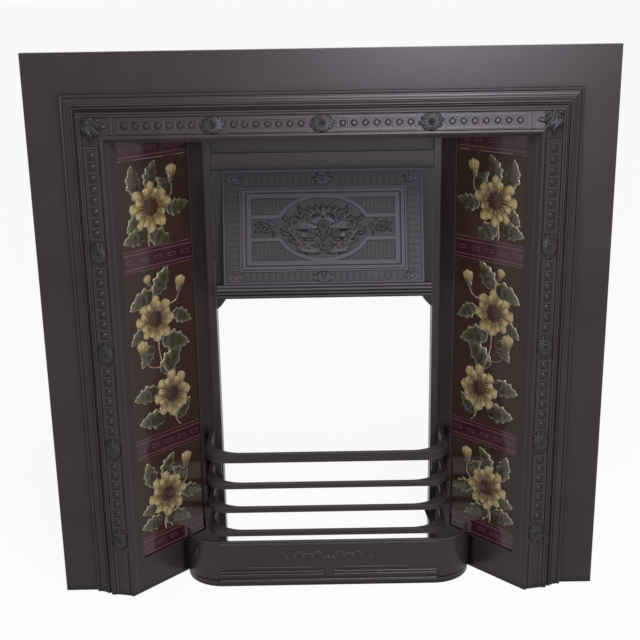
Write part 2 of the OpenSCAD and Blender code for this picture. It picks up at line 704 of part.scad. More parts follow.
module hood_hook(z) side_plate(hood_half - hood_t, hood_half) difference() {
    translate([hood_back - 2, z - hook_depth])
        square([hook_y - hood_back + 2 + hook_tail, hook_h]);
    translate([hook_y, z]) circle(peg_r + peg_clear);
    translate([hook_y - peg_r - peg_clear, z - hook_depth - cut])
        square([2 * (peg_r + peg_clear), hook_depth + cut]);
}

// Ornament of the sloping panel, drawn flat
field_half = face_half - border_side - frame_side;
field_v = border_foot + frame_end;
field_h = hood_slope - border_foot - border_top - 2 * frame_end;
border_in_x = field_half + frame_side;
oval_v = field_v + field_h / 2 + 2.5; // the oval sits a little above the middle of the field
oval_half_h = field_h / 2 - 2;
module oval(grow) translate([0, oval_v]) polygon([for (i = [0:47])
    [(oval_half_w + grow) * cos(i * 7.5), (oval_half_h + grow) * sin(i * 7.5)]]);
module field(grow_x, grow_y) translate([-field_half - grow_x, field_v - grow_y])
    square([2 * (field_half + grow_x), field_h + 2 * grow_y]);
module arms(h) translate([-field_half, oval_v - h / 2]) square([2 * field_half, h]);
module raised(h) translate([0, 0, -1]) linear_extrude(1 + h) children();

// Flat band round the oval, opening into the arms beside it
module strapwork() difference() {
    union() {
        oval(band_w);
        arms(arm_h + 2 * band_w);
    }
    oval(0);
    arms(arm_h);
}
// Upright reeds in the four corners of the field
module corner_reeds() difference() {
    for (side = [-1, 1], i = [0:floor((field_half - 4) / reed_pitch)])
        translate([side * (field_half - 4 - i * reed_pitch) - reed_w / 2, field_v + 3])
            square([reed_w, field_h - 6]);
    oval(band_w + 2.5);
    arms(arm_h + 2 * band_w + 5);
}
// A tongue of the border, which starts at the frame and ends round
module tongue(l) {
    translate([-tongue_w / 2, 0]) square([tongue_w, l - tongue_w / 2]);
    translate([0, l - tongue_w / 2]) circle(tongue_w / 2, $fn = 12);
}
boss_half = 24; // room left for the leaf bosses in the middle of the border
corner_room = 12;
side_run = hood_slope - border_foot - border_top;
module border_tongues() for (side = [-1, 1]) {
    for (i = [0:floor((border_in_x - corner_room - boss_half) / tongue_pitch)])
        translate([side * (boss_half + i * tongue_pitch), 0]) {
            translate([0, border_foot - 1]) rotate(180) tongue(border_foot - 6);
            translate([0, hood_slope - border_top + 3]) tongue(border_top - 11);
        }
    for (i = [0:floor((side_run - corner_room) / tongue_pitch)])
        translate([side * (border_in_x + 3), border_foot + corner_room / 2 + i * tongue_pitch])
            rotate(side * -90) tongue(border_side - 9);
}
// A leaf boss: two leaves and a dome between them
module leaf_boss(l, w) {
    for (turn = [0, 180]) rotate(turn) linear_extrude(relief + 1.6) polygon(leaf_pts(l, w));
    cylinder(r1 = w * 0.7, r2 = w * 0.4, h = relief + 3);
}
// Steps of the frame, from the outside in: outer edge, inner edge and height
frame_steps = [[1, 0.86, 1], [0.8, 0.52, 1.5], [0.4, 0, 1]];
module hood_ornament() {
    raised(band_rise) strapwork();
    raised(relief) corner_reeds();
    raised(relief) border_tongues();
    for (f = frame_steps) raised(band_rise * f[2]) difference() {
        field(frame_side * f[0], frame_end * f[0]);
        field(frame_side * f[1], frame_end * f[1]);
    }
    // rim round the whole panel
    raised(band_rise * 0.8) difference() {
        translate([-face_half, 0]) square([2 * face_half, hood_slope]);
        translate([-face_half + 2.5, 2.5]) square([2 * face_half - 5, hood_slope - 6]);
    }
    translate([0, border_foot / 2, -1]) leaf_boss(20, 7.5);
    translate([0, hood_slope - border_top / 2, -1]) leaf_boss(15, 10);
    for (side = [-1, 1]) {
        translate([side * (border_in_x + 8), border_foot / 2, -1]) leaf_boss(13, 8);
        translate([side * (border_in_x + 9), hood_slope - border_top / 2, -1]) leaf_boss(12, 8);
    }
}

// Bottom moulding with its reeds, drawn in y and z
hood_reeds = 4;
module hood_mould_plan() let (r = hood_mould_h / hood_reeds / 2, y = hood_foot_y - hood_mould_d / 2 + r)
    polygon(concat([[hood_foot_y + hood_mould_d / 2, hood_z]],
        [for (i = [0:hood_reeds - 1], a = arc_pts(y, hood_z + r * (2 * i + 1), r, 265, 95, 6)) a],
        [[hood_foot_y + hood_mould_d / 2, hood_z + hood_mould_h]]));

module hood() color(iron) placed() union() {
    on_hood() hood_ornament();
    on_hood() translate([-face_half, 0, -hood_t]) cube([2 * face_half, hood_slope, hood_t]);
    side_plate(-face_half - hood_mould_over, face_half + hood_mould_over) hood_mould_plan();
    both_sides() {
        hood_side();
        hood_wing();
        for (z = hook_zs) hood_hook(z);
    }
}

// ---- Fire bars ----

bars_half = jamb_x + bars_over;
bars_end_y = crest_y + (crest_x - bars_half) * tan(splay) - bars_end_gap;
// Plan of a band that runs straight across, turns round the corners and runs back to end_y
module band_plan(half, front, end_y, r, inner_r, d) difference() {
    band_fill(half, front, end_y, r);
    band_fill(half - d, front + d, end_y + cut, inner_r);
}
module band_fill(half, front, end_y, r) intersection() {
    translate([-half, front]) square([2 * half, end_y - front]);
    union() {
        translate([-half, front + r]) square([2 * half, end_y - front]);
        translate([-half + r, front]) square([2 * (half - r), end_y - front]);
        for (side = [-1, 1]) translate([side * (half - r), front + r]) circle(r, $fn = 96);
    }
}
module bar(z, h) translate([0, 0, z]) linear_extrude(h)
    band_plan(bars_half, bars_y, bars_end_y, bar_corner_r, bar_inner_r, bar_d);

hook_arm_z = bracket_z + shelf_t + upstand_h + hook_clear;
hook_arm_t = 8;
tongue_y = open_y - bracket_d + upstand_t + hook_clear;
module bar_hook() side_plate(bracket_x, bars_half - bar_d + 1) {
    translate([bars_end_y - bar_d + 2, hook_arm_z])
        square([tongue_y + 5 - bars_end_y + bar_d - 2, hook_arm_t]);
    translate([tongue_y, bracket_z + shelf_t + hook_clear]) square([5, upstand_h + cut]);
}
module fire_bars() color(iron) placed() union() {
    bar(bars_top - top_bar_h, top_bar_h);
    for (i = [0:2]) bar(lowest_bar_z + i * bar_pitch, bar_h);
    both_sides() {
        translate([bars_half - bar_d, bars_end_y - post_w, lowest_bar_z])
            cube([bar_d, post_w, bars_top - lowest_bar_z]);
        bar_hook();
    }
}

// ---- Ash fret ----

fret_half = bars_half + fret_over;
fret_end_y = crest_y + (crest_x - fret_half) * tan(splay) - fret_clear;
fret_wall_y = fret_y + fret_mould_d;
fret_flat = fret_half - fret_corner_r;
fret_inner_r = fret_corner_r - fret_t;
// Foot moulding, drawn in y and z: a plinth with a thin reed on it, then two more reeds
plinth_h = fret_mould_h * 0.33;
line_r = fret_mould_h * 0.05;
function reed_line(y, z) = arc_pts(y, z, line_r, 270, 90, 4);
module fret_plinth_plan() let (d = fret_mould_d, w = fret_wall_y, z = plinth_h + line_r) polygon(concat(
    [[w + 1, 0], [w - d, 0], [w - d, plinth_h]], reed_line(w - d * 0.6, z), [[w + 1, z + line_r]]));
module fret_lines_plan() let (d = fret_mould_d, h = fret_mould_h, w = fret_wall_y) polygon(concat(
    [[w + 1, h * 0.42], [w - d * 0.25, h * 0.42]], reed_line(w - d * 0.45, h * 0.74),
    [[w - d * 0.25, h * 0.8], [w - d * 0.25, h * 0.87]], reed_line(w - d * 0.45, h * 0.93), [[w + 1, h]]));

// Two scrolls and a husk between them, in low relief on the fret
module fret_scrolls() for (side = [-1, 1]) {
    for (x = [22, 54]) translate([side * x, 0]) difference() {
        circle(9);
        circle(6);
        translate([-10, -20]) square([20, 20 - 3]);
    }
    translate([side * 38, 4]) rotate(90) square([3, 14], center = true);
}

scroll_line = [27, 145]; // start and end of the thin line under the scrolls
module ash_fret() color(iron) placed() union() {
    linear_extrude(fret_h)
        band_plan(fret_half, fret_wall_y, fret_end_y, fret_corner_r, fret_inner_r, fret_t);
    // the plinth runs on round the corners, dying away towards the ends
    linear_extrude(plinth_h) band_plan(fret_half, fret_y, fret_end_y,
        fret_corner_r + fret_mould_d, fret_inner_r, fret_t);
    side_plate(-fret_flat, fret_flat) fret_plinth_plan();
    for (x0 = [-fret_flat, fret_notch_w / 2])
        side_plate(x0, x0 + fret_flat - fret_notch_w / 2) fret_lines_plan();
    face_plate(fret_wall_y - relief, fret_wall_y + 1) {
        translate([-fret_flat, fret_h - 6]) square([2 * fret_flat, 3]);
        for (x0 = [-scroll_line[1], scroll_line[0]])
            translate([x0, fret_mould_h + 5]) square([scroll_line[1] - scroll_line[0], 1.6]);
        translate([0, (fret_mould_h + fret_h) / 2]) fret_scrolls();
    }
}

surround_frame();
left_tile_frame();
right_tile_frame();
left_tile_1();
left_tile_2();
left_tile_3();
left_tile_4();
left_border_tile_1();
left_border_tile_2();
left_border_tile_3();
left_border_tile_4();
right_tile_1();
right_tile_2();
right_tile_3();
right_tile_4();
right_border_tile_1();
right_border_tile_2();
right_border_tile_3();
right_border_tile_4();
left_jamb();
right_jamb();
lintel();
hood();
fire_bars();
ash_fret();
left_tile_straps();
right_tile_straps();
strap_screws();
frame_bolts();
jamb_studs();
jamb_nuts();
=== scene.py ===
# %% [markdown]
# # A tiled cast iron fireplace, dressed for its picture
# The imported CAD model is the frame of this lesson: every casting, tile, bolt and bar is already
# in place and at its real size. Blender adds what a solid modeller leaves out: the black polish
# on the iron, the glaze on the tiles, and the carved leaves and flowers in low relief.
# The first step is always to load the frame. Nothing that is added may make the object larger.

import json
import math
import random

import bmesh
import bpy
from mathutils import Matrix, Vector


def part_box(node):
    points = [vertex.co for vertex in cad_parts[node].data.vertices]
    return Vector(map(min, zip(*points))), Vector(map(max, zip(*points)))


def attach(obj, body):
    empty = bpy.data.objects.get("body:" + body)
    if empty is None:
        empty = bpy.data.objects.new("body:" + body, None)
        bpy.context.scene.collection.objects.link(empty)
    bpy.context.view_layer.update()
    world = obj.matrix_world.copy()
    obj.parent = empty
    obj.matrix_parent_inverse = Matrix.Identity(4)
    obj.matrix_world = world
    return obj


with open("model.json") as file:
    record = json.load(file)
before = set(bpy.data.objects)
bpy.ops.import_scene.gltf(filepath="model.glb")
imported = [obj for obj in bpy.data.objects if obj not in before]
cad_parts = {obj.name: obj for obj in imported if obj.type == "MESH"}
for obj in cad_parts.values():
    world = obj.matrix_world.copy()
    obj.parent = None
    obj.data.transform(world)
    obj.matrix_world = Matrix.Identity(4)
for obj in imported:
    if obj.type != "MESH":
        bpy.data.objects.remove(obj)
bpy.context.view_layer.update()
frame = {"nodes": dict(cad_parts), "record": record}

# %% [markdown]
# ## Where things are
# Blender works in metres and the drawings of the fireplace in millimetres, so each ornament is
# drawn in millimetres on a flat sheet, and one matrix scales it, turns it and sets it down on
# its casting. The front face of the plain margin is the plane that all depths are measured from.

# %% Planes that carry ornament
MM = 0.001
CREST_X, CREST_Y = 355.0, -26.0
margin_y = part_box("surround_frame")[0].y - CREST_Y * MM


def sheet_at(origin, across, up):
    """A flat sheet in millimetres: x runs across, y up, and z out of its face."""
    across, up = Vector(across).normalized(), Vector(up).normalized()
    turn = Matrix((across, up, across.cross(up))).transposed().to_4x4()
    place = Vector((origin[0] * MM, margin_y + origin[1] * MM, origin[2] * MM))
    return Matrix.Translation(place) @ turn @ Matrix.Scale(MM, 4)


SPLAY = math.radians(46.7)
TILE_MIDDLE, TILE_SINK, TILE_SIZE = 103.2, 3.5, 152.4


def tile_sheet(side, height):
    """The face of a tile column, centred on the tiles; side is 1 on the right and -1 on the left."""
    inward = Vector((-side * math.cos(SPLAY), math.sin(SPLAY), 0))
    outward = Vector((-side * math.sin(SPLAY), -math.cos(SPLAY), 0))
    spot = Vector((side * CREST_X, CREST_Y, height)) + inward * TILE_MIDDLE - outward * TILE_SINK
    return sheet_at(spot, -side * inward, (0, 0, 1))


HOOD_FOOT_Y, HOOD_FOOT_Z = 58.0, 562.0
HOOD_LEAN = math.atan2(190, 63)
up_the_hood = (0, math.cos(HOOD_LEAN), math.sin(HOOD_LEAN))
hood_sheet = sheet_at((0, HOOD_FOOT_Y, HOOD_FOOT_Z), (1, 0, 0), up_the_hood)

FRIEZE_X, FRIEZE_Y, FRIEZE_Z = 374.75, -20.25, 849.25
FRIEZE_LEAN = math.atan2(5.5, 27.5)


def frieze_sheet(run, place, along):
    """The leaning face of the frieze: run is 0 on top and 1 or -1 at a side, and place is how far along."""
    away, forward = math.sin(FRIEZE_LEAN), -math.cos(FRIEZE_LEAN)
    if run:
        spot, out = (run * FRIEZE_X, FRIEZE_Y, place), Vector((run * away, forward, 0))
    else:
        spot, out = (place, FRIEZE_Y, FRIEZE_Z), Vector((0, forward, away))
    return sheet_at(spot, along, out.cross(Vector(along)))


print("margin face at y =", round(margin_y, 4), "hood leans by", round(math.degrees(HOOD_LEAN), 1))

# %% [markdown]
# ## The camera
# The photograph was taken by someone standing about 1.8 m away and looking down a little, with
# the camera slightly tilted. A camera fitted to the corners of the front, the bars and the tile
# joints gave the place, the angles and the lens below. The picture is square, 640 by 640.

# %% Camera
PITCH_DOWN, YAW, ROLL = math.radians(16.90), -0.002, -0.016
CAMERA_X, CAMERA_BEFORE, CAMERA_HEIGHT = -0.0121, 1.8227, 1.0665
FOCAL_PIXELS, PICTURE_PIXELS, SENSOR_MM = 1113.0, 640, 36.0
camera_data = bpy.data.cameras.new("view")
camera_data.sensor_width = SENSOR_MM
camera_data.lens = FOCAL_PIXELS / PICTURE_PIXELS * SENSOR_MM
camera = bpy.data.objects.new("view", camera_data)
bpy.context.scene.collection.objects.link(camera)
camera.matrix_world = (Matrix.Translation((CAMERA_X, margin_y - CAMERA_BEFORE, CAMERA_HEIGHT))
                       @ Matrix.Rotation(YAW, 4, "Z") @ Matrix.Rotation(math.pi / 2 - PITCH_DOWN, 4, "X")
                       @ Matrix.Rotation(ROLL, 4, "Z"))
bpy.context.scene.camera = camera
print("lens:", round(camera_data.lens, 1), "mm")

# %% [markdown]
# ## A small language for finishes
# A procedural finish is a sum: a grain, plus a cloudy stain, times how deep a hollow is. Written
# as nodes that is hard to read, so the class Wire wraps one output of a node and lets Python's
# own signs add the Math nodes. Nodes makes every other node by one method, and Finish is one
# material, with the few terms that all its finishes are mixed from.

# %% Wire, Nodes and Finish
class Wire:
    """One output of a node, used in sums like a number."""

    def __init__(self, nodes, socket):
        self.nodes, self.socket = nodes, socket

    def maths(self, operation, first, second=0.0):
        return self.nodes.node("ShaderNodeMath", {"operation": operation}, {0: first, 1: second})

    def __add__(self, other):
        return self.maths("ADD", self, other)

    def __sub__(self, other):
        return self.maths("SUBTRACT", self, other)

    def __rsub__(self, other):
        return self.maths("SUBTRACT", other, self)

    def __mul__(self, other):
        return self.maths("MULTIPLY", self, other)

    def __pow__(self, other):
        return self.maths("POWER", self, other)

    def __abs__(self):
        return self.maths("ABSOLUTE", self)

    def clamped(self):
        return self.maths("MINIMUM", self.maths("MAXIMUM", self, 0.0), 1.0)

    __radd__, __rmul__ = __add__, __mul__


class Nodes:
    """The node tree of a material or of the world."""

    def __init__(self, tree):
        self.tree = tree

    def feed(self, socket, value):
        if isinstance(value, Wire):
            self.tree.links.new(value.socket, socket)
        else:
            socket.default_value = value

    def node(self, kind, settings=(), sockets=(), output=0):
        """Adds a node, makes its settings, feeds its sockets and gives back one output."""
        made = self.tree.nodes.new(kind)
        for name, value in dict(settings).items():
            if name == "stops":
                ramp = made.color_ramp
                ramp.elements[0].position, ramp.elements[-1].position = value[0][0], value[-1][0]
                for place, _ in value[1:-1]:
                    ramp.elements.new(place)
                for stop, (_, colour) in zip(ramp.elements, value):
                    stop.color = (*colour, 1)
            else:
                setattr(made, name, value)
        for name, value in dict(sockets).items():
            self.feed(made.inputs[name], value)
        return Wire(self, made.outputs[output])

    def seen(self):
        """1 where the camera looks, straight or in a reflection, and 0 for light that spreads."""
        looked_at = self.node("ShaderNodeLightPath", output="Is Camera Ray")
        return looked_at.maths("MAXIMUM", looked_at, self.node("ShaderNodeLightPath", output="Is Glossy Ray"))


class Finish(Nodes):
    """A material with one main shader, whose plain sockets are set straight away."""

    def __init__(self, name, **plain):
        self.material = bpy.data.materials.new(name)
        self.material.use_nodes = True
        super().__init__(self.material.node_tree)
        self.shader = self.tree.nodes["Principled BSDF"]
        for socket, value in plain.items():
            self.shader.inputs[socket.replace("_", " ")].default_value = value

    def place(self):
        """Where a point is, in metres, so that a pattern has one size on every piece."""
        return self.node("ShaderNodeTexCoord", output="Object")

    def noise(self, spot, scale, detail=2.0):
        return self.node("ShaderNodeTexNoise", sockets={"Vector": spot, "Scale": scale, "Detail": detail})

    def hollow(self, reach):
        """From 0 on open ground to 1 deep in a corner, within reach metres."""
        return 1 - self.node("ShaderNodeAmbientOcclusion", {"samples": 8}, {"Distance": reach}, "AO")

    def edge(self, reach):
        """From 0 on flat ground to 1 on a sharp outer edge."""
        inside_out = {"samples": 8, "only_local": True, "inside": True}
        return 1 - self.node("ShaderNodeAmbientOcclusion", inside_out, {"Distance": reach}, "AO")

    def blend(self, share, first, second):
        """One colour, turning into another as share goes from 0 to 1."""
        first, second = ((*c, 1) if isinstance(c, tuple) else c for c in (first, second))
        return self.node("ShaderNodeMix", {"data_type": "RGBA"}, {0: share, 6: first, 7: second}, 2)

    def ramp(self, share, stops):
        return self.node("ShaderNodeValToRGB", {"stops": stops}, {"Fac": share})

    def rounded(self, reach):
        """Normals that shade every sharp edge as if it were rounded, so that it catches the light."""
        return self.node("ShaderNodeBevel", {"samples": 4}, {"Radius": reach})

    def above(self, sheet):
        """Metres above the ground of an ornament that lies on a sheet."""
        out = sheet.col[2].xyz.normalized()
        rise = self.node("ShaderNodeVectorMath", {"operation": "DOT_PRODUCT"}, {0: self.place(), 1: out}, 1)
        return rise - out.dot(sheet.translation)

    def look(self, colour, roughness=None, height=None, strength=0.3, depth=0.0005, under=None):
        """Feeds the main shader and gives back the material; under is what the bumps lie on."""
        self.feed(self.shader.inputs["Base Color"], colour)
        if roughness is not None:
            self.feed(self.shader.inputs["Roughness"], roughness)
        if height is not None:
            sockets = {"Strength": strength, "Distance": depth, "Height": height}
            if under is not None:
                sockets["Normal"] = under
            self.feed(self.shader.inputs["Normal"], self.node("ShaderNodeBump", sockets=sockets))
        return self.material


print("ready to mix finishes")

# %% [markdown]
# ## Black polish on cast iron
# The iron is painted and then brushed with black polish, which has graphite in it. Sand from the mould
# leaves a fine grain, the brush leaves cloudy patches, and years of wear bring out the grey of
# the metal on the edges, which are made paler still as a painted highlight. The hollows stay dull,
# and their colour is darkened as painted shade. Each of these is one term. On the hood the raised
# ornament is painted greyer than its ground, partly as worn polish and partly as a painted
# highlight, and every edge is shaded as a rounded one.

# %% Iron finishes
THICK_POLISH, THIN_POLISH = (0.020, 0.0130, 0.0132), (0.034, 0.0235, 0.0240)
# Painted shade for the hollows, and painted highlights for the raised ornament and the edges; the edges are
# also bare metal.
HOLLOW_SHADE, RAISED_AND_HIGHLIT, BARE_METAL_AND_HIGHLIGHT = (0.004, 0.0034, 0.0038), (0.031, 0.0265, 0.0300), (0.125, 0.115, 0.125)
RAISED_FROM, RAISED_OVER = 0.0014, 0.000625


def black_iron(name, tone, edge_wear_and_highlight, dull, sheet=None):
    """Tone is how pale the polish is, edge_wear_and_highlight how pale its edges are, as bare metal and
    as a painted highlight, dull how rough it is. A sheet tells apart the raised ornament on it, which a
    brush reaches and which is painted paler as a highlight, and the sunk ground, which it misses."""
    iron = Finish(name, Specular_IOR_Level=0.225)
    spot = iron.place()
    grain = iron.noise(spot, 620, 3)
    cloud = iron.noise(spot, 9, 4)
    hollow = iron.hollow(0.014)
    thick, thin = (tuple(tone * c for c in polish) for polish in (THICK_POLISH, THIN_POLISH))
    colour = iron.blend(cloud, thick, thin)
    # Painted shade: hollows and corners turn nearly black, where shade falls.
    colour = iron.blend((hollow * 2.0).clamped(), colour, HOLLOW_SHADE)
    if sheet is not None:
        # Painted highlight, partly worn polish too: raised ornament on the sheet is paler than its sunk
        # ground.
        raised = (iron.above(sheet) - RAISED_FROM) * (1 / RAISED_OVER)
        colour = iron.blend(raised.clamped(), colour, RAISED_AND_HIGHLIT)
    # Edges turn pale, as bare metal worn through the polish and as a painted highlight.
    colour = iron.blend((iron.edge(0.0018) * edge_wear_and_highlight).clamped(), colour, BARE_METAL_AND_HIGHLIGHT)
    rough = dull + cloud * 0.06 + hollow * 0.10 + grain * 0.04
    return iron.look(colour, rough, grain + cloud * 0.3, 0.2, 0.0004, iron.rounded(0.0011))


iron_look = black_iron("black_polish", 0.78, 0.45, 0.25)
# On the fret the edges are paler, as wear from boots and as a painted highlight.
worn_and_highlit_look = black_iron("black_polish_worn_by_boots_and_highlit", 0.85, 0.80, 0.25)
sooted_look = black_iron("black_polish_dulled_by_heat", 0.70, 0.40, 0.36)
# The hood's low tone paints its ground darker, as shade of the recess it sits in.
hood_look = black_iron("black_polish_on_the_hood", 0.36, 0.40, 0.38, hood_sheet)
bar_look = black_iron("black_polish_burnt_on_the_bars", 0.6, 0.35, 0.45)
relief_look = black_iron("black_polish_on_carving", 0.40, 0.26, 0.40)
boss_look = black_iron("black_polish_on_bosses", 0.25, 0.12, 0.30)
steel = Finish("dull_steel", Metallic=0.5, Specular_IOR_Level=0.3)
steel_spot = steel.place()
steel_grain = steel.noise(steel_spot, 900, 2)
steel_stain = steel.noise(steel_spot, 60, 4)
steel_colour = steel.blend(steel_stain, (0.045, 0.042, 0.040), (0.075, 0.058, 0.048))
steel_look = steel.look(steel_colour, 0.42 + steel_stain * 0.25, steel_grain, 0.3, 0.0002)
irons = (iron_look, worn_and_highlit_look, sooted_look, hood_look, bar_look, relief_look, boss_look, steel_look)
print("iron finishes:", [look.name for look in irons])

# %% [markdown]
# ## Glaze on pressed tiles
# A glaze is a layer of coloured glass. It runs off high ground and gathers in the hollows, so
# the same maroon is nearly black beside a raised line and reddish on top of it. That is why the
# colour below is driven by how hollow or how sharp the surface is, under one clear glossy coat.
# On sharp edges the thin glaze is made paler still, as a painted highlight.

# %% Glazes
GLASS = {"Roughness": 0.3, "Specular_IOR_Level": 0.1, "IOR": 1.52}


def pooled_glaze(name, coat, thin, plain, deep):
    """One glaze in three colours: thin on edges, paler there also as a painted highlight, plain on the
    ground, deep in blotches and hollows.
    """
    glaze = Finish(name, Coat_Weight=coat, Coat_Roughness=0.08, **GLASS)
    spot = glaze.place()
    colour = glaze.blend(glaze.noise(spot, 45, 4), plain, deep)
    colour = glaze.blend((glaze.hollow(0.006) * 1.2).clamped(), colour, deep)
    # Thin glaze on sharp edges, made paler as a painted highlight.
    colour = glaze.blend((glaze.edge(0.0012) * 0.9).clamped(), colour, thin)
    return glaze.look(colour, None, glaze.noise(spot, 130, 2), 0.12, 0.0006)


border_look = pooled_glaze(
    "maroon_border_glaze", 0.6, (0.28, 0.14, 0.145), (0.036, 0.010, 0.015), (0.016, 0.004, 0.007))
ground_look = pooled_glaze(
    "maroon_ground_glaze", 0.3, (0.10, 0.04, 0.03), (0.020, 0.009, 0.009), (0.027, 0.014, 0.008))


def painted_glaze(name, stops, rim, streaks, margin):
    """A glaze laid along a petal or leaf: stops colour it from root to tip, rim its edges, its streaks and
    its hollows.
    """
    glaze = Finish(name, Coat_Weight=0.6, Coat_Roughness=0.07, **GLASS)
    sheet = glaze.node("ShaderNodeTexCoord", output="UV")
    along, across = (glaze.node("ShaderNodeSeparateXYZ", sockets={0: sheet}, output=axis) for axis in "XY")
    colour = glaze.ramp(along, stops)
    brushed = glaze.node("ShaderNodeMapping", sockets={"Vector": sheet, "Scale": (1.5, 9, 1)})
    streak = glaze.noise(brushed, 1.6, 3)
    colour = glaze.blend(((streak - 0.40) * 3 * streaks).clamped(), colour, rim)
    # On the petals the rim colour is dark, so the next lines paint shade along their edges and in the hollows
    # between them.
    beside = abs(across * 2 - 1) ** margin
    colour = glaze.blend((beside * 0.85).clamped(), colour, rim)
    colour = glaze.blend((glaze.hollow(0.004) * 0.8).clamped(), colour, rim)
    return glaze.look(colour, None, streak, 0.15, 0.0004)


# The petals' dark olive rim is painted shade, in lines between the petals.
petal_stops = [(0.0, (0.030, 0.014, 0.006)), (0.34, (0.085, 0.056, 0.018)),
               (0.66, (0.25, 0.19, 0.075)), (1.0, (0.40, 0.325, 0.185))]
petal_look = painted_glaze("cream_petal_glaze", petal_stops, (0.066, 0.046, 0.014), 1.0, 1.7)
leaf_stops = [(0.0, (0.012, 0.009, 0.005)), (0.7, (0.024, 0.022, 0.009)),
              (0.92, (0.06, 0.055, 0.028)), (1.0, (0.38, 0.34, 0.22))]
leaf_look = painted_glaze("olive_leaf_glaze", leaf_stops, (0.30, 0.26, 0.16), 0.08, 7)
stem_stops = [(0.0, (0.20, 0.15, 0.09)), (1.0, (0.30, 0.23, 0.15))]
stem_look = painted_glaze("pale_stem_glaze", stem_stops, (0.16, 0.10, 0.06), 0.3, 4)
seed = Finish("brown_seed_glaze", Roughness=0.4, Specular_IOR_Level=0.1, Coat_Weight=0.4, Coat_Roughness=0.1)
speckle = seed.noise(seed.place(), 500, 2)
seed_look = seed.look(seed.blend(speckle, (0.014, 0.005, 0.004), (0.045, 0.018, 0.008)))
glazes = (border_look, ground_look, petal_look, leaf_look, stem_look, seed_look)
print("glazes:", [look.name for look in glazes])

# %% [markdown]
# ## Dressing the castings and tiles
# The CAD nodes already have the right shape, so each only gets its finish. The record's slots tell
# iron, picture tiles, border tiles and steel apart. The hood, the lintel, the bars and the fret
# each have their own polish, because heat, soot and boots leave them different blacks; the hood's
# is also darkened as painted shade, and the fret's edges are made paler as a painted highlight.

# %% Finishes on the CAD nodes
SLOT_LOOKS = {"blacked_iron": iron_look, "picture_glaze": ground_look,
              "border_glaze": border_look, "fixing_steel": steel_look}
slot_of = {part["node"]: part["material_slot"] for part in frame["record"]["subparts"]}
OTHER_LOOKS = {"hood": hood_look, "lintel": sooted_look, "fire_bars": bar_look, "ash_fret": worn_and_highlit_look}
for name, node in frame["nodes"].items():
    node.data.materials.clear()
    node.data.materials.append(OTHER_LOOKS.get(name, SLOT_LOOKS[slot_of[name]]))
print("dressed", len(frame["nodes"]), "nodes")

# %% [markdown]
# ## Relief, built blade by blade
# A petal, a leaf and a carved lobe are one thing to a modeller: a blade that swells from its
# root, arches across and ends in a tip. A grid is extruded once, its underside is pressed flat
# into the ground, and its top is raised, so each blade is a closed solid. Its UV runs along and
# across it, which is what the painted glazes read.

# %% Relief
UNDERSIDE, LEAST_RISE = -0.6, 0.12
GOLDEN_ANGLE = 2.39996
STAMENS = 22


def petal_width(a):
    swell = 0.42 + 0.58 * math.sin(min(a / 0.68, 1) * math.pi / 2)
    return swell * math.sqrt(max(0.0, 1 - max(0.0, (a - 0.68) / 0.32) ** 2))


def broad_width(a):
    swell = 0.30 + 0.70 * math.sin(min(a / 0.76, 1) * math.pi / 2) ** 1.2
    return swell * math.sqrt(max(0.0, 1 - max(0.0, (a - 0.76) / 0.24) ** 2))


def leaf_width(a):
    return max(0.0, math.sin(math.pi * a ** 0.8)) ** 0.85 + 0.10 * (1 - a)


def curve(start, pull, end, steps=10):
    """Points along an arc from start to end, drawn towards pull half way."""
    shares = [i / steps for i in range(steps + 1)]
    return [tuple((1 - t) ** 2 * a + 2 * t * (1 - t) * b + t * t * c for a, b, c in zip(start, pull, end))
            for t in shares]


def towards(at, turn, reach):
    """The point that lies reach away from the point at, turn degrees from the x axis."""
    return at[0] + reach * math.cos(math.radians(turn)), at[1] + reach * math.sin(math.radians(turn))


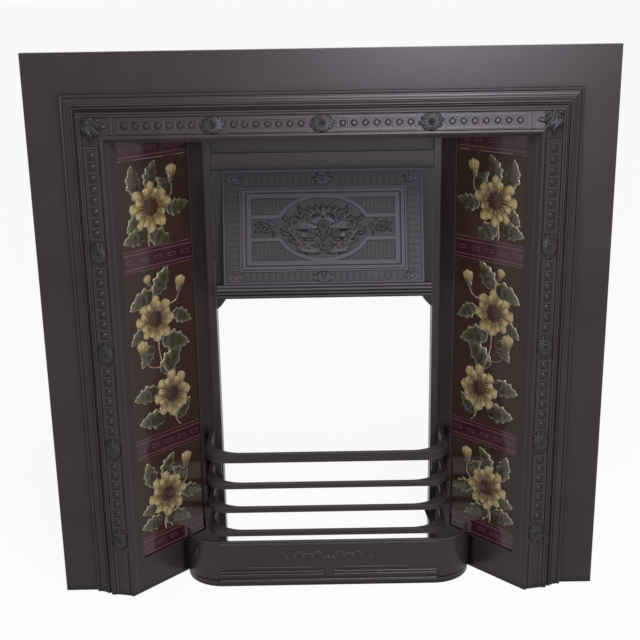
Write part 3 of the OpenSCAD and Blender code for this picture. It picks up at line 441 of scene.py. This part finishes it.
class Relief:
    """Ornament in low relief that is put together in one mesh, on one sheet."""

    def __init__(self, sheet, flip=1):
        self.mesh, self.sheet, self.flip = bmesh.new(), sheet, flip

    def start(self):
        """A small mesh for one blade, stem or dome, since each step on a large mesh takes longer."""
        part = bmesh.new()
        return part, part.loops.layers.uv.new("along_and_across")

    def keep(self, part, skin):
        """Adds the small mesh to the ornament, in the look whose number is skin."""
        for face in part.faces:
            face.material_index, face.smooth = skin, True
        data = bpy.data.meshes.new("part")
        part.to_mesh(data)
        part.free()
        self.mesh.from_mesh(data)
        bpy.data.meshes.remove(data)

    def blade(self, at, turn, length, width, height, outline=leaf_width, skin=0, teeth=0, notch=0.3,
              crease=0.25, bend=0.0, cells=(8, 4), root=0.5):
        """A blade that starts at the point at, turned by turn degrees from the x axis and curled by
        bend degrees. Teeth and notch cut its edge, crease sinks its rib, root is how high it starts."""
        at, bend = (at[0] * self.flip, at[1]), bend * self.flip
        turn = turn if self.flip > 0 else 180 - turn
        part, uv = self.start()
        grid = bmesh.ops.create_grid(part, x_segments=cells[0], y_segments=cells[1], size=0.5)["verts"]
        raised = bmesh.ops.extrude_face_region(part, geom=part.faces[:])["geom"]
        tops = {g for g in raised if isinstance(g, bmesh.types.BMVert)}
        share = {v: (v.co.x + 0.5, v.co.y * 2) for v in [*grid, *tops]}
        for face in part.faces:
            for loop in face.loops:
                a, c = share[loop.vert]
                loop[uv].uv = (a, c / 2 + 0.5)
        for vert, (a, c) in share.items():
            cut = 1 - notch * (0.5 + 0.5 * math.cos(2 * math.pi * teeth * a)) if teeth else 1
            half = width / 2 * outline(a) * (cut if abs(c) > 0.9 else 1 - (1 - cut) * abs(c))
            x, y = length * a, half * c
            arch = 1 - abs(c) ** 2.4 * 0.85
            body = root + (1 - root) * math.sin(math.pi * min(1.0, a * 0.9 + 0.05))
            z = height * (arch * body - crease * math.exp(-(c / 0.22) ** 2))
            if teeth:
                z += height * 0.22 * abs(c) * math.cos(2 * math.pi * (teeth * a - 0.3 * abs(c)))
            z = max(z, LEAST_RISE) if vert in tops else UNDERSIDE
            swing = math.radians(bend) * a
            vert.co = (x * math.cos(swing) - y * math.sin(swing),
                       x * math.sin(swing) + y * math.cos(swing), z)
        here = Matrix.Translation((at[0], at[1], 0)) @ Matrix.Rotation(math.radians(turn), 4, "Z")
        bmesh.ops.transform(part, matrix=here, verts=part.verts)
        bmesh.ops.remove_doubles(part, verts=part.verts, dist=0.02)
        self.keep(part, skin)

    def stem(self, path, thick, skin=0, thin=1.0, sides=8, sink=0.3, lift=0.0):
        """A round stem along a path of flat points, which thins out to thin times its thickness."""
        path = [(x * self.flip, y) for x, y in path]
        part, _ = self.start()
        verts = bmesh.ops.create_circle(part, cap_ends=True, segments=sides, radius=1)["verts"]
        face, stand = verts[0].link_faces[0], Matrix.Identity(4)
        for i, point in enumerate(path):
            before, after = Vector(path[max(i - 1, 0)]), Vector(path[min(i + 1, len(path) - 1)])
            heading = (after - before).normalized()
            girth = thick / 2 * (1 + (thin - 1) * i / (len(path) - 1))
            to = (Matrix.Translation((point[0], point[1], girth * (1 - sink) + lift))
                  @ Matrix.Rotation(math.atan2(heading.y, heading.x), 4, "Z")
                  @ Matrix.Rotation(math.pi / 2, 4, "Y") @ Matrix.Scale(girth, 4))
            if i:
                geometry = bmesh.ops.extrude_face_region(part, geom=[face])["geom"]
                verts = [g for g in geometry if isinstance(g, bmesh.types.BMVert)]
                face = next(g for g in geometry if isinstance(g, bmesh.types.BMFace))
            bmesh.ops.transform(part, matrix=to @ stand.inverted(), verts=verts)
            stand = to
        self.keep(part, skin)

    def dome(self, at, radius, height, skin=0):
        part, _ = self.start()
        bmesh.ops.create_icosphere(part, subdivisions=3, radius=1)
        there = Matrix.Translation((at[0] * self.flip, at[1], 0))
        flattened = Matrix.Diagonal((radius, radius, height, 1))
        bmesh.ops.transform(part, matrix=there @ flattened, verts=part.verts)
        self.keep(part, skin)

    def seeds(self, at, radius, height, count, size, skin=0):
        """Seeds on a dome, each a golden angle on from the one before, as in a real flower."""
        part, _ = self.start()
        for i in range(count):
            reach, angle = radius * math.sqrt((i + 0.5) / count), i * GOLDEN_ANGLE
            cone = bmesh.ops.create_cone(part, cap_ends=True, segments=6, radius1=size, radius2=size * 0.45,
                                         depth=size * 1.3)["verts"]
            x, y = at[0] * self.flip + reach * math.cos(angle), at[1] + reach * math.sin(angle)
            top = height * math.sqrt(max(0.0, 1 - (reach / radius) ** 2 * 0.8))
            bmesh.ops.transform(part, matrix=Matrix.Translation((x, y, top)), verts=cone)
        self.keep(part, skin)

    def daisy(self, at, radius, petals, height, heart):
        """A marguerite: two rings of petals round a domed heart full of seeds."""
        root, width = radius * heart * 0.7, 2 * math.pi * radius * 0.62 / petals
        for ring, (reach, lift) in enumerate(((1.0, 0.0), (0.86, 0.25))):
            for i in range(petals):
                turn = 360 / petals * (i + 0.5 * ring)
                self.blade(towards(at, turn, root), turn, radius * reach - root, width, height * (1 + lift),
                           petal_width, crease=0.16, root=0.75)
        self.dome(at, radius * heart, height * 1.25)
        self.seeds(at, radius * heart * 0.92, height * 1.2, 46, radius * heart * 0.075)

    def open_rose(self, at, radius, petals, height, skins, dice):
        """A single open rose: two rings of broad petals, a dark heart and a ring of pale stamens."""
        root = radius * 0.26
        for reach, lift, first in ((1.0, 0.0, 0.0), (0.80, 0.3, 0.5)):
            width = 2 * math.pi * radius * reach * 0.62 / petals
            for i in range(petals):
                turn = 360 / petals * (i + first) + dice.uniform(-5, 5)
                size = radius * reach * dice.uniform(0.94, 1.05)
                self.blade(towards(at, turn, root), turn, size - root, width, height * (1 + lift),
                           broad_width, skins[0], crease=0.12, bend=dice.uniform(-9, 9), root=0.7,
                           cells=(12, 6))
        self.dome(at, radius * 0.43, height * 1.35, skins[1])
        self.seeds(at, radius * 0.41, height * 1.3, 80, radius * 0.024, skins[1])
        for i in range(STAMENS):
            turn = 360 / STAMENS * i + dice.uniform(-4, 4)
            reach = radius * dice.uniform(0.48, 0.56)
            self.stem([towards(at, turn, radius * 0.39), towards(at, turn, reach)],
                      radius * 0.035, skins[2], sides=5, lift=height * 1.25)

    def bud(self, at, turn, length, height, skins):
        """A closed bud: three folded petals held by two sepals."""
        folded = {"outline": broad_width, "skin": skins[0], "crease": 0.1, "root": 0.8, "cells": (10, 6)}
        for side in (-1, 1):
            self.blade(at, turn + 13 * side, length * 0.94, length * 0.42, height, **folded)
        self.blade(at, turn, length, length * 0.44, height * 1.4, **folded)
        for side in (-1, 1):
            self.blade(at, turn + 24 * side, length * 0.62, length * 0.24, height * 1.5, skin=skins[1],
                       bend=-20 * side)

    def frond(self, at, turn, length, width, height, pairs):
        """A carved leaf: pairs of lobes that grow shorter along a rib, and one lobe at the tip."""
        for i in range(pairs):
            share = i / pairs
            spot = towards(at, turn, length * (0.04 + 0.72 * share))
            for side in (-1, 1):
                self.blade(spot, turn + side * (62 - 22 * share), width * (0.62 - 0.22 * share), width * 0.34,
                           height, crease=0.3, bend=-side * 30)
        tip = towards(at, turn, length * 0.66)
        self.blade(tip, turn, length * 0.34, width * 0.36, height, crease=0.3)
        self.stem([at, tip], width * 0.11, thin=0.5, lift=height * 0.5)

    def slice_off(self, at, outward):
        """Cuts away all that lies beyond a plane through the point at, and closes the cut."""
        everything = [*self.mesh.verts, *self.mesh.edges, *self.mesh.faces]
        cut = bmesh.ops.bisect_plane(
            self.mesh, geom=everything, plane_co=at, plane_no=outward, clear_outer=True)
        rim = [g for g in cut["geom_cut"] if isinstance(g, bmesh.types.BMEdge)]
        bmesh.ops.holes_fill(self.mesh, edges=rim, sides=0)

    def done(self, name, body, looks):
        """Sets the relief down on its casting and hands it to its body."""
        bmesh.ops.transform(self.mesh, matrix=self.sheet, verts=self.mesh.verts)
        bmesh.ops.recalc_face_normals(self.mesh, faces=self.mesh.faces)
        data = bpy.data.meshes.new(name)
        self.mesh.to_mesh(data)
        self.mesh.free()
        for look in looks:
            data.materials.append(look)
        piece = bpy.data.objects.new(name, data)
        bpy.context.scene.collection.objects.link(piece)
        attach(piece, body)
        print(name, "faces:", len(data.polygons))


# %% [markdown]
# ## Flowers on the picture tiles
# Each column has four picture tiles: a single picture at the foot and the head, and a tall one
# over the two middle tiles. The flowers are plain open roses with buds, in cream glaze with olive
# leaves, in a layout made up for this fireplace. The left column mirrors the right. The tall
# picture is modelled once and sliced at the joint between its tiles, as a pressing die would be.

# %% Picture tiles
PETAL, SEED, LEAF, STEM = range(4)
TILE_LOOKS = [petal_look, seed_look, leaf_look, stem_look]
ROSE_SKINS, BUD_SKINS = (PETAL, SEED, STEM), (PETAL, LEAF)
HALF_JOINT, GLAZE_EDGE = 0.4, 2.2
tile_height = {n: sum(v.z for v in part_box(f"right_tile_{n}")) / 2 / MM for n in range(1, 5)}


def leaves(relief, dice, spots):
    """Toothed leaves at spots, each given as x, y, turn and length."""
    for x, y, turn, length in spots:
        relief.blade((x, y), turn, length * 1.12, length * 0.70, 2.2, skin=LEAF, teeth=4,
                     bend=dice.uniform(-22, 22), cells=(20, 6))


def single_picture(relief, dice):
    """One rose, one bud and seven leaves, drawn from the middle of the tile."""
    relief.stem(curve((18, -74), (22, -60), (16, -46)), 3.0, STEM)
    relief.stem(curve((-28, 4), (-42, 10), (-36, 32)), 2.6, STEM, thin=0.7)
    leaves(relief, dice, ((24, -50, -12, 44), (16, -50, 205, 56), (-24, -12, 196, 44), (-30, 12, 62, 34),
                          (36, 18, 58, 46), (14, 26, 104, 44), (30, -20, -20, 36)))
    relief.bud((-36, 30), 98, 33, 2.4, BUD_SKINS)
    relief.open_rose((10, -6), 44, 8, 2.4, ROSE_SKINS, dice)


def tall_picture(relief, dice):
    """Two roses, three buds and ten leaves, drawn from the joint between the two middle tiles."""
    relief.stem(curve((-30, -148), (-20, -140), (-18, -126)), 3.4, STEM)
    relief.stem(curve((-6, -42), (12, -12), (10, 20)), 3.2, STEM, thin=0.8)
    relief.stem(curve((3, -26), (36, -32), (43, -2)), 2.8, STEM, thin=0.7)
    relief.stem(curve((-20, 84), (-38, 84), (-41, 102)), 2.6, STEM, thin=0.7)
    relief.stem(curve((16, 102), (15, 112), (20, 124)), 2.6, STEM, thin=0.8)
    leaves(relief, dice, ((4, -124, 8, 52), (-22, -132, 152, 40), (18, -66, -18, 48), (10, -36, 158, 60),
                          (2, 22, 196, 58), (22, 14, -46, 40), (34, 44, -10, 36), (-26, 66, 208, 42),
                          (10, 104, 4, 54), (12, 106, 128, 50)))
    relief.bud((43, -4), 84, 34, 2.4, BUD_SKINS)
    relief.bud((-41, 100), 104, 32, 2.4, BUD_SKINS)
    relief.bud((20, 122), 66, 24, 2.2, BUD_SKINS)
    relief.open_rose((-14, -84), 43, 8, 2.5, ROSE_SKINS, dice)
    relief.open_rose((14, 62), 43, 8, 2.5, ROSE_SKINS, dice)


for side, hand in ((1, "right"), (-1, "left")):
    for number in (1, 4):
        relief = Relief(tile_sheet(side, tile_height[number]), side)
        single_picture(relief, random.Random(10 * number))
        for turn in range(4):
            edge = Matrix.Rotation(turn * math.pi / 2, 3, "Z") @ Vector((TILE_SIZE / 2 - GLAZE_EDGE, 0, 0))
            relief.slice_off(edge, edge)
        relief.done(f"flower_{hand}_{number}", "casting", TILE_LOOKS)
    joint_height = (tile_height[2] + tile_height[3]) / 2
    for number, way in ((2, -1), (3, 1)):
        relief = Relief(tile_sheet(side, joint_height), side)
        tall_picture(relief, random.Random(7))
        relief.slice_off((0, way * HALF_JOINT, 0), (0, -way, 0))
        relief.slice_off((0, way * (TILE_SIZE - GLAZE_EDGE), 0), (0, way, 0))
        relief.done(f"flower_{hand}_{number}", "casting", TILE_LOOKS)

# %% [markdown]
# ## Carving on the hood
# The oval on the hood is packed with leaves and blossoms: on each side a stem winds among six
# blossoms, a fan of leaves stands behind them, and toothed leaves curl to the edge. The arms
# beside the oval hold a sprig each. The left half mirrors the right, as a pattern maker carves
# it. Small leaf bosses mark the corners and the middles of the border.

# %% Hood carving
OVAL_V = 97.8
BORDER_SIDE, BORDER_FOOT, BORDER_HEAD = 152, 12, 183
FAN_LEAVES = ((79, 44), (63, 47), (46, 51), (31, 57), (17, 64), (4, 70))
CURLED_LEAVES = (
    (12, -14, -4, 58, 16, 24), (10, -24, -22, 56, 15, 28), (4, -34, -30, 44, 14, 24),
    (30, -14, 6, 40, 12, 18), (50, 2, -34, 28, 11, 30), (20, 4, 34, 28, 12, -30),
    (58, 12, 20, 20, 9, 20), (2, -42, -8, 34, 10, 16), (16, -36, 22, 32, 11, -24),
    (40, -24, 26, 32, 10, 24), (2, -16, 84, 22, 10, 0), (34, 24, 40, 20, 9, 20),
    (14, 22, 60, 22, 9, -20), (58, -10, -10, 20, 9, 20), (28, -40, 6, 24, 9, 20))
BLOSSOMS = ((28, 15, 9.5), (50, 10, 11.5), (47, -11, 8), (22, -8, 7), (64, -2, 6), (34, -30, 7))
SPRIG_LEAVES = ((88, 0, 66, 14), (90, -2, -20, 17), (98, 4, 30, 18), (100, 2, -50, 15), (108, 2, 24, 16),
                (110, 0, -40, 14), (94, 4, 96, 12), (86, -4, -84, 12))
carving = Relief(hood_sheet)


def on_oval(path):
    """Points that are drawn from the middle of the oval, set up on the hood's sheet."""
    return [(x, OVAL_V + y) for x, y in path]


for side in (-1, 1):
    carving.flip = side
    for turn, length in FAN_LEAVES:
        carving.blade((2, OVAL_V + 2), turn, length, 15, 2.4, crease=0.45, bend=-6, cells=(15, 4))
    for x, y, turn, length, width, bend in CURLED_LEAVES:
        carving.blade((x, OVAL_V + y), turn, length, width, 3.4, teeth=4, notch=0.4, bend=bend, cells=(20, 4))
    winding = curve((0, -22), (10, -14), (18, -4)) + curve((20, 0), (28, 12), (46, 10))
    carving.stem(on_oval(winding), 2.6, thin=0.6)
    for x, y, radius in BLOSSOMS:
        carving.daisy((x, OVAL_V + y), radius, 7, 3.6, heart=0.36)
    carving.stem(on_oval(curve((84, -6), (100, 12), (120, -4))), 2.2, thin=0.5)
    for x, y, turn, length in SPRIG_LEAVES:
        carving.blade((x, OVAL_V + y), turn, length, 7.5, 2.8, teeth=2, notch=0.35, cells=(10, 4))
    carving.daisy((86, OVAL_V + 2), 7, 6, 3.0, heart=0.4)
    for v, lean in ((BORDER_FOOT, -1), (BORDER_HEAD, 1)):
        for turn, length in ((0, 19), (38, 16), (-38, 16), (72, 10), (-72, 10)):
            carving.blade((1, v), turn, length, 7.5, 3.0, crease=0.35, bend=12)
        corner = (BORDER_SIDE, v - 2 * lean)
        for turn, length in ((90, 12), (30, 13), (150, 13), (210, 9), (-30, 9)):
            carving.blade(corner, turn * lean, length, 7, 3.0, crease=0.35)
        carving.dome(corner, 3.4, 3.2)
carving.blade((0, OVAL_V + 2), 90, 45, 16, 2.8, crease=0.45, cells=(15, 4))
carving.daisy((0, OVAL_V + 3), 12, 9, 4.0, heart=0.36)
carving.daisy((0, OVAL_V - 32), 9, 7, 3.6, heart=0.36)
for v in (BORDER_FOOT, BORDER_HEAD):
    carving.daisy((0, v), 6, 7, 3.6, heart=0.4)
carving.done("hood_carving", "hood", [relief_look])

# %% [markdown]
# ## Leaves on the frieze
# The CAD bosses of the frieze have blunt rings of leaves. Each gets two rings of carved leaves
# and a flower here. Where the two runs of the frieze meet, an acanthus leaf lies along each run,
# so that the mitre is hidden.

# %% Frieze leaves
TOP_BOSSES, SIDE_BOSSES = (-176, 0, 176), (112, 288, 464, 640)
BOSS_RINGS = ((0, (21.5, 14.5), 3.2, 10), (15, (15.5, 11.5), 4.0, 8))
CORNER_X, CORNER_Z = 387, 862
CORNER_LOBES = ((0, 44, 19), (30, 27, 12), (-30, 27, 12), (14, 35, 11), (-14, 35, 11))
spots = [(0, x, (1, 0, 0)) for x in TOP_BOSSES]
spots += [(run, z, (0, 0, 1)) for run in (-1, 1) for z in SIDE_BOSSES]
for number, (run, place, along) in enumerate(spots):
    boss = Relief(frieze_sheet(run, place, along))
    for first, half, rise, width in BOSS_RINGS:
        for turn in range(first, first + 360, 30):
            x, y = towards((0, 0), turn, 1)
            reach = 1 / math.hypot(x / half[0], y / half[1])
            boss.blade((0, 0), turn, reach, width, rise, petal_width, crease=0.4, bend=10, cells=(10, 4))
    boss.daisy((0, 0), 7.5, 8, 4.6, heart=0.45)
    boss.done(f"frieze_boss_{number + 1}", "casting", [boss_look])
for side, hand in ((1, "right"), (-1, "left")):
    top_run = frieze_sheet(0, side * CORNER_X, (-side, 0, 0))
    side_run = frieze_sheet(side, CORNER_Z, (0, 0, -1))
    for arm, sheet in (("top", top_run), ("side", side_run)):
        leaf = Relief(sheet)
        for turn, length, width in CORNER_LOBES:
            leaf.blade((-2, 0), turn, length, width, 3.0, teeth=4, notch=0.35, crease=0.35, bend=turn / 2,
                       cells=(20, 4))
        leaf.done(f"corner_leaf_{hand}_{arm}", "casting", [boss_look])

# %% [markdown]
# ## Scrolls on the ash fret
# The fret has a shallow running scroll on its straight front and a leaf on each round corner. It
# is worn nearly flat from shovels and boots, so the stems are thin and hardly stand proud.

# %% Fret scrolls
FRET_FRONT, FRET_MIDDLE = 8, 58.7
FRET_CORNER_X, FRET_CORNER_Y = 245.1, 27.4
SCROLL_STEP, SCROLL_POINTS = 34, 15


def scroll(n, rise):
    """Points on the nth spiral of the running scroll, which turns by 0.45 radians from point to point."""
    turns = SCROLL_POINTS - 1
    middle = 26 + SCROLL_STEP * n
    return [(middle + (12 - 9 * i / turns) * math.cos(rise * i * 0.45),
             FRET_MIDDLE + (9 - 6 * i / turns) * math.sin(rise * i * 0.45)) for i in range(SCROLL_POINTS)]


fret = Relief(sheet_at((0, FRET_FRONT, 0), (1, 0, 0), (0, 0, 1)))
for side in (-1, 1):
    fret.flip = side
    for n in range(3):
        rise = 1 if n % 2 else -1
        fret.stem(scroll(n, rise), 1.5, thin=0.5, sink=0.55)
        for turn in (60, 100, -40):
            fret.blade((8 + SCROLL_STEP * n, FRET_MIDDLE), turn * rise, 15, 6, 1.1, teeth=2, cells=(10, 4))
    fret.blade((0, FRET_MIDDLE - 6), 62, 20, 7, 1.3, teeth=2, cells=(10, 4))
fret.dome((0, FRET_MIDDLE - 5), 4, 1.6)
fret.done("fret_scroll", "fret", [relief_look])
for side, hand in ((1, "right"), (-1, "left")):
    corner = (side * FRET_CORNER_X, FRET_CORNER_Y, FRET_MIDDLE)
    leaf = Relief(sheet_at(corner, (1, side, 0), (0, 0, 1)), side)
    leaf.frond((0, -8), 105, 22, 11, 1.4, pairs=3)
    leaf.done(f"fret_leaf_{hand}", "fret", [relief_look])

# %% [markdown]
# ## Floor, light and surroundings
# The fireplace stands on a plain pale floor. Everything round it is white, and shows white to
# the camera and in the polish, but lights the iron only softly. One lamp stands high in front of
# it and to the right, so the mouldings catch a line of light along the top. A second is like a
# window behind the camera, and its reflection brightens the right of the top frieze.

# %% Floor and light
ROOM_LIGHT, FLOOR_GLOW, FLOOR_HALF = 0.28, 0.92, 90
white_room = bpy.data.worlds.new("white_room")
bpy.context.scene.world = white_room
white_room.use_nodes = True
room = Nodes(white_room.node_tree)
sky = room.tree.nodes["Background"]
sky.inputs["Color"].default_value = (1, 1, 1, 1)
room.feed(sky.inputs["Strength"], room.seen() * (1 - ROOM_LIGHT) + ROOM_LIGHT)

floor_mesh = bmesh.new()
bmesh.ops.create_grid(floor_mesh, x_segments=1, y_segments=1, size=FLOOR_HALF)
floor_data = bpy.data.meshes.new("floor")
floor_mesh.to_mesh(floor_data)
floor_mesh.free()
floor = bpy.data.objects.new("floor", floor_data)
bpy.context.scene.collection.objects.link(floor)
pale = Finish("pale_floor", Roughness=0.8)
pale.look((0.84, 0.84, 0.84, 1))
plain = Wire(pale, pale.shader.outputs[0])
glow = pale.node("ShaderNodeEmission", sockets={"Color": (1, 1, 1, 1), "Strength": 1.0})
mixed = pale.node("ShaderNodeMixShader", sockets={0: pale.seen() * FLOOR_GLOW, 1: plain, 2: glow})
pale.feed(pale.tree.nodes["Material Output"].inputs["Surface"], mixed)
floor_data.materials.append(pale.material)


def lamp(name, at, aim, size, watts, colour):
    """A square lamp at one point that shines towards another."""
    data = bpy.data.lights.new(name, "AREA")
    data.size, data.energy, data.color = size, watts, colour
    made = bpy.data.objects.new(name, data)
    bpy.context.scene.collection.objects.link(made)
    made.location = at
    made.rotation_euler = (Vector(aim) - Vector(at)).to_track_quat("-Z", "Y").to_euler()


lamp("skylight", (0.4, -1.6, 2.8), (0.1, 0, 0.7), 0.8, 50, (0.97, 0.95, 0.98))
lamp("window_behind", (0.55, -3.3, 1.3), (0.1, 0, 0.8), 0.8, 84, (0.88, 0.88, 1.0))
bpy.context.scene.view_settings.view_transform = "Standard"
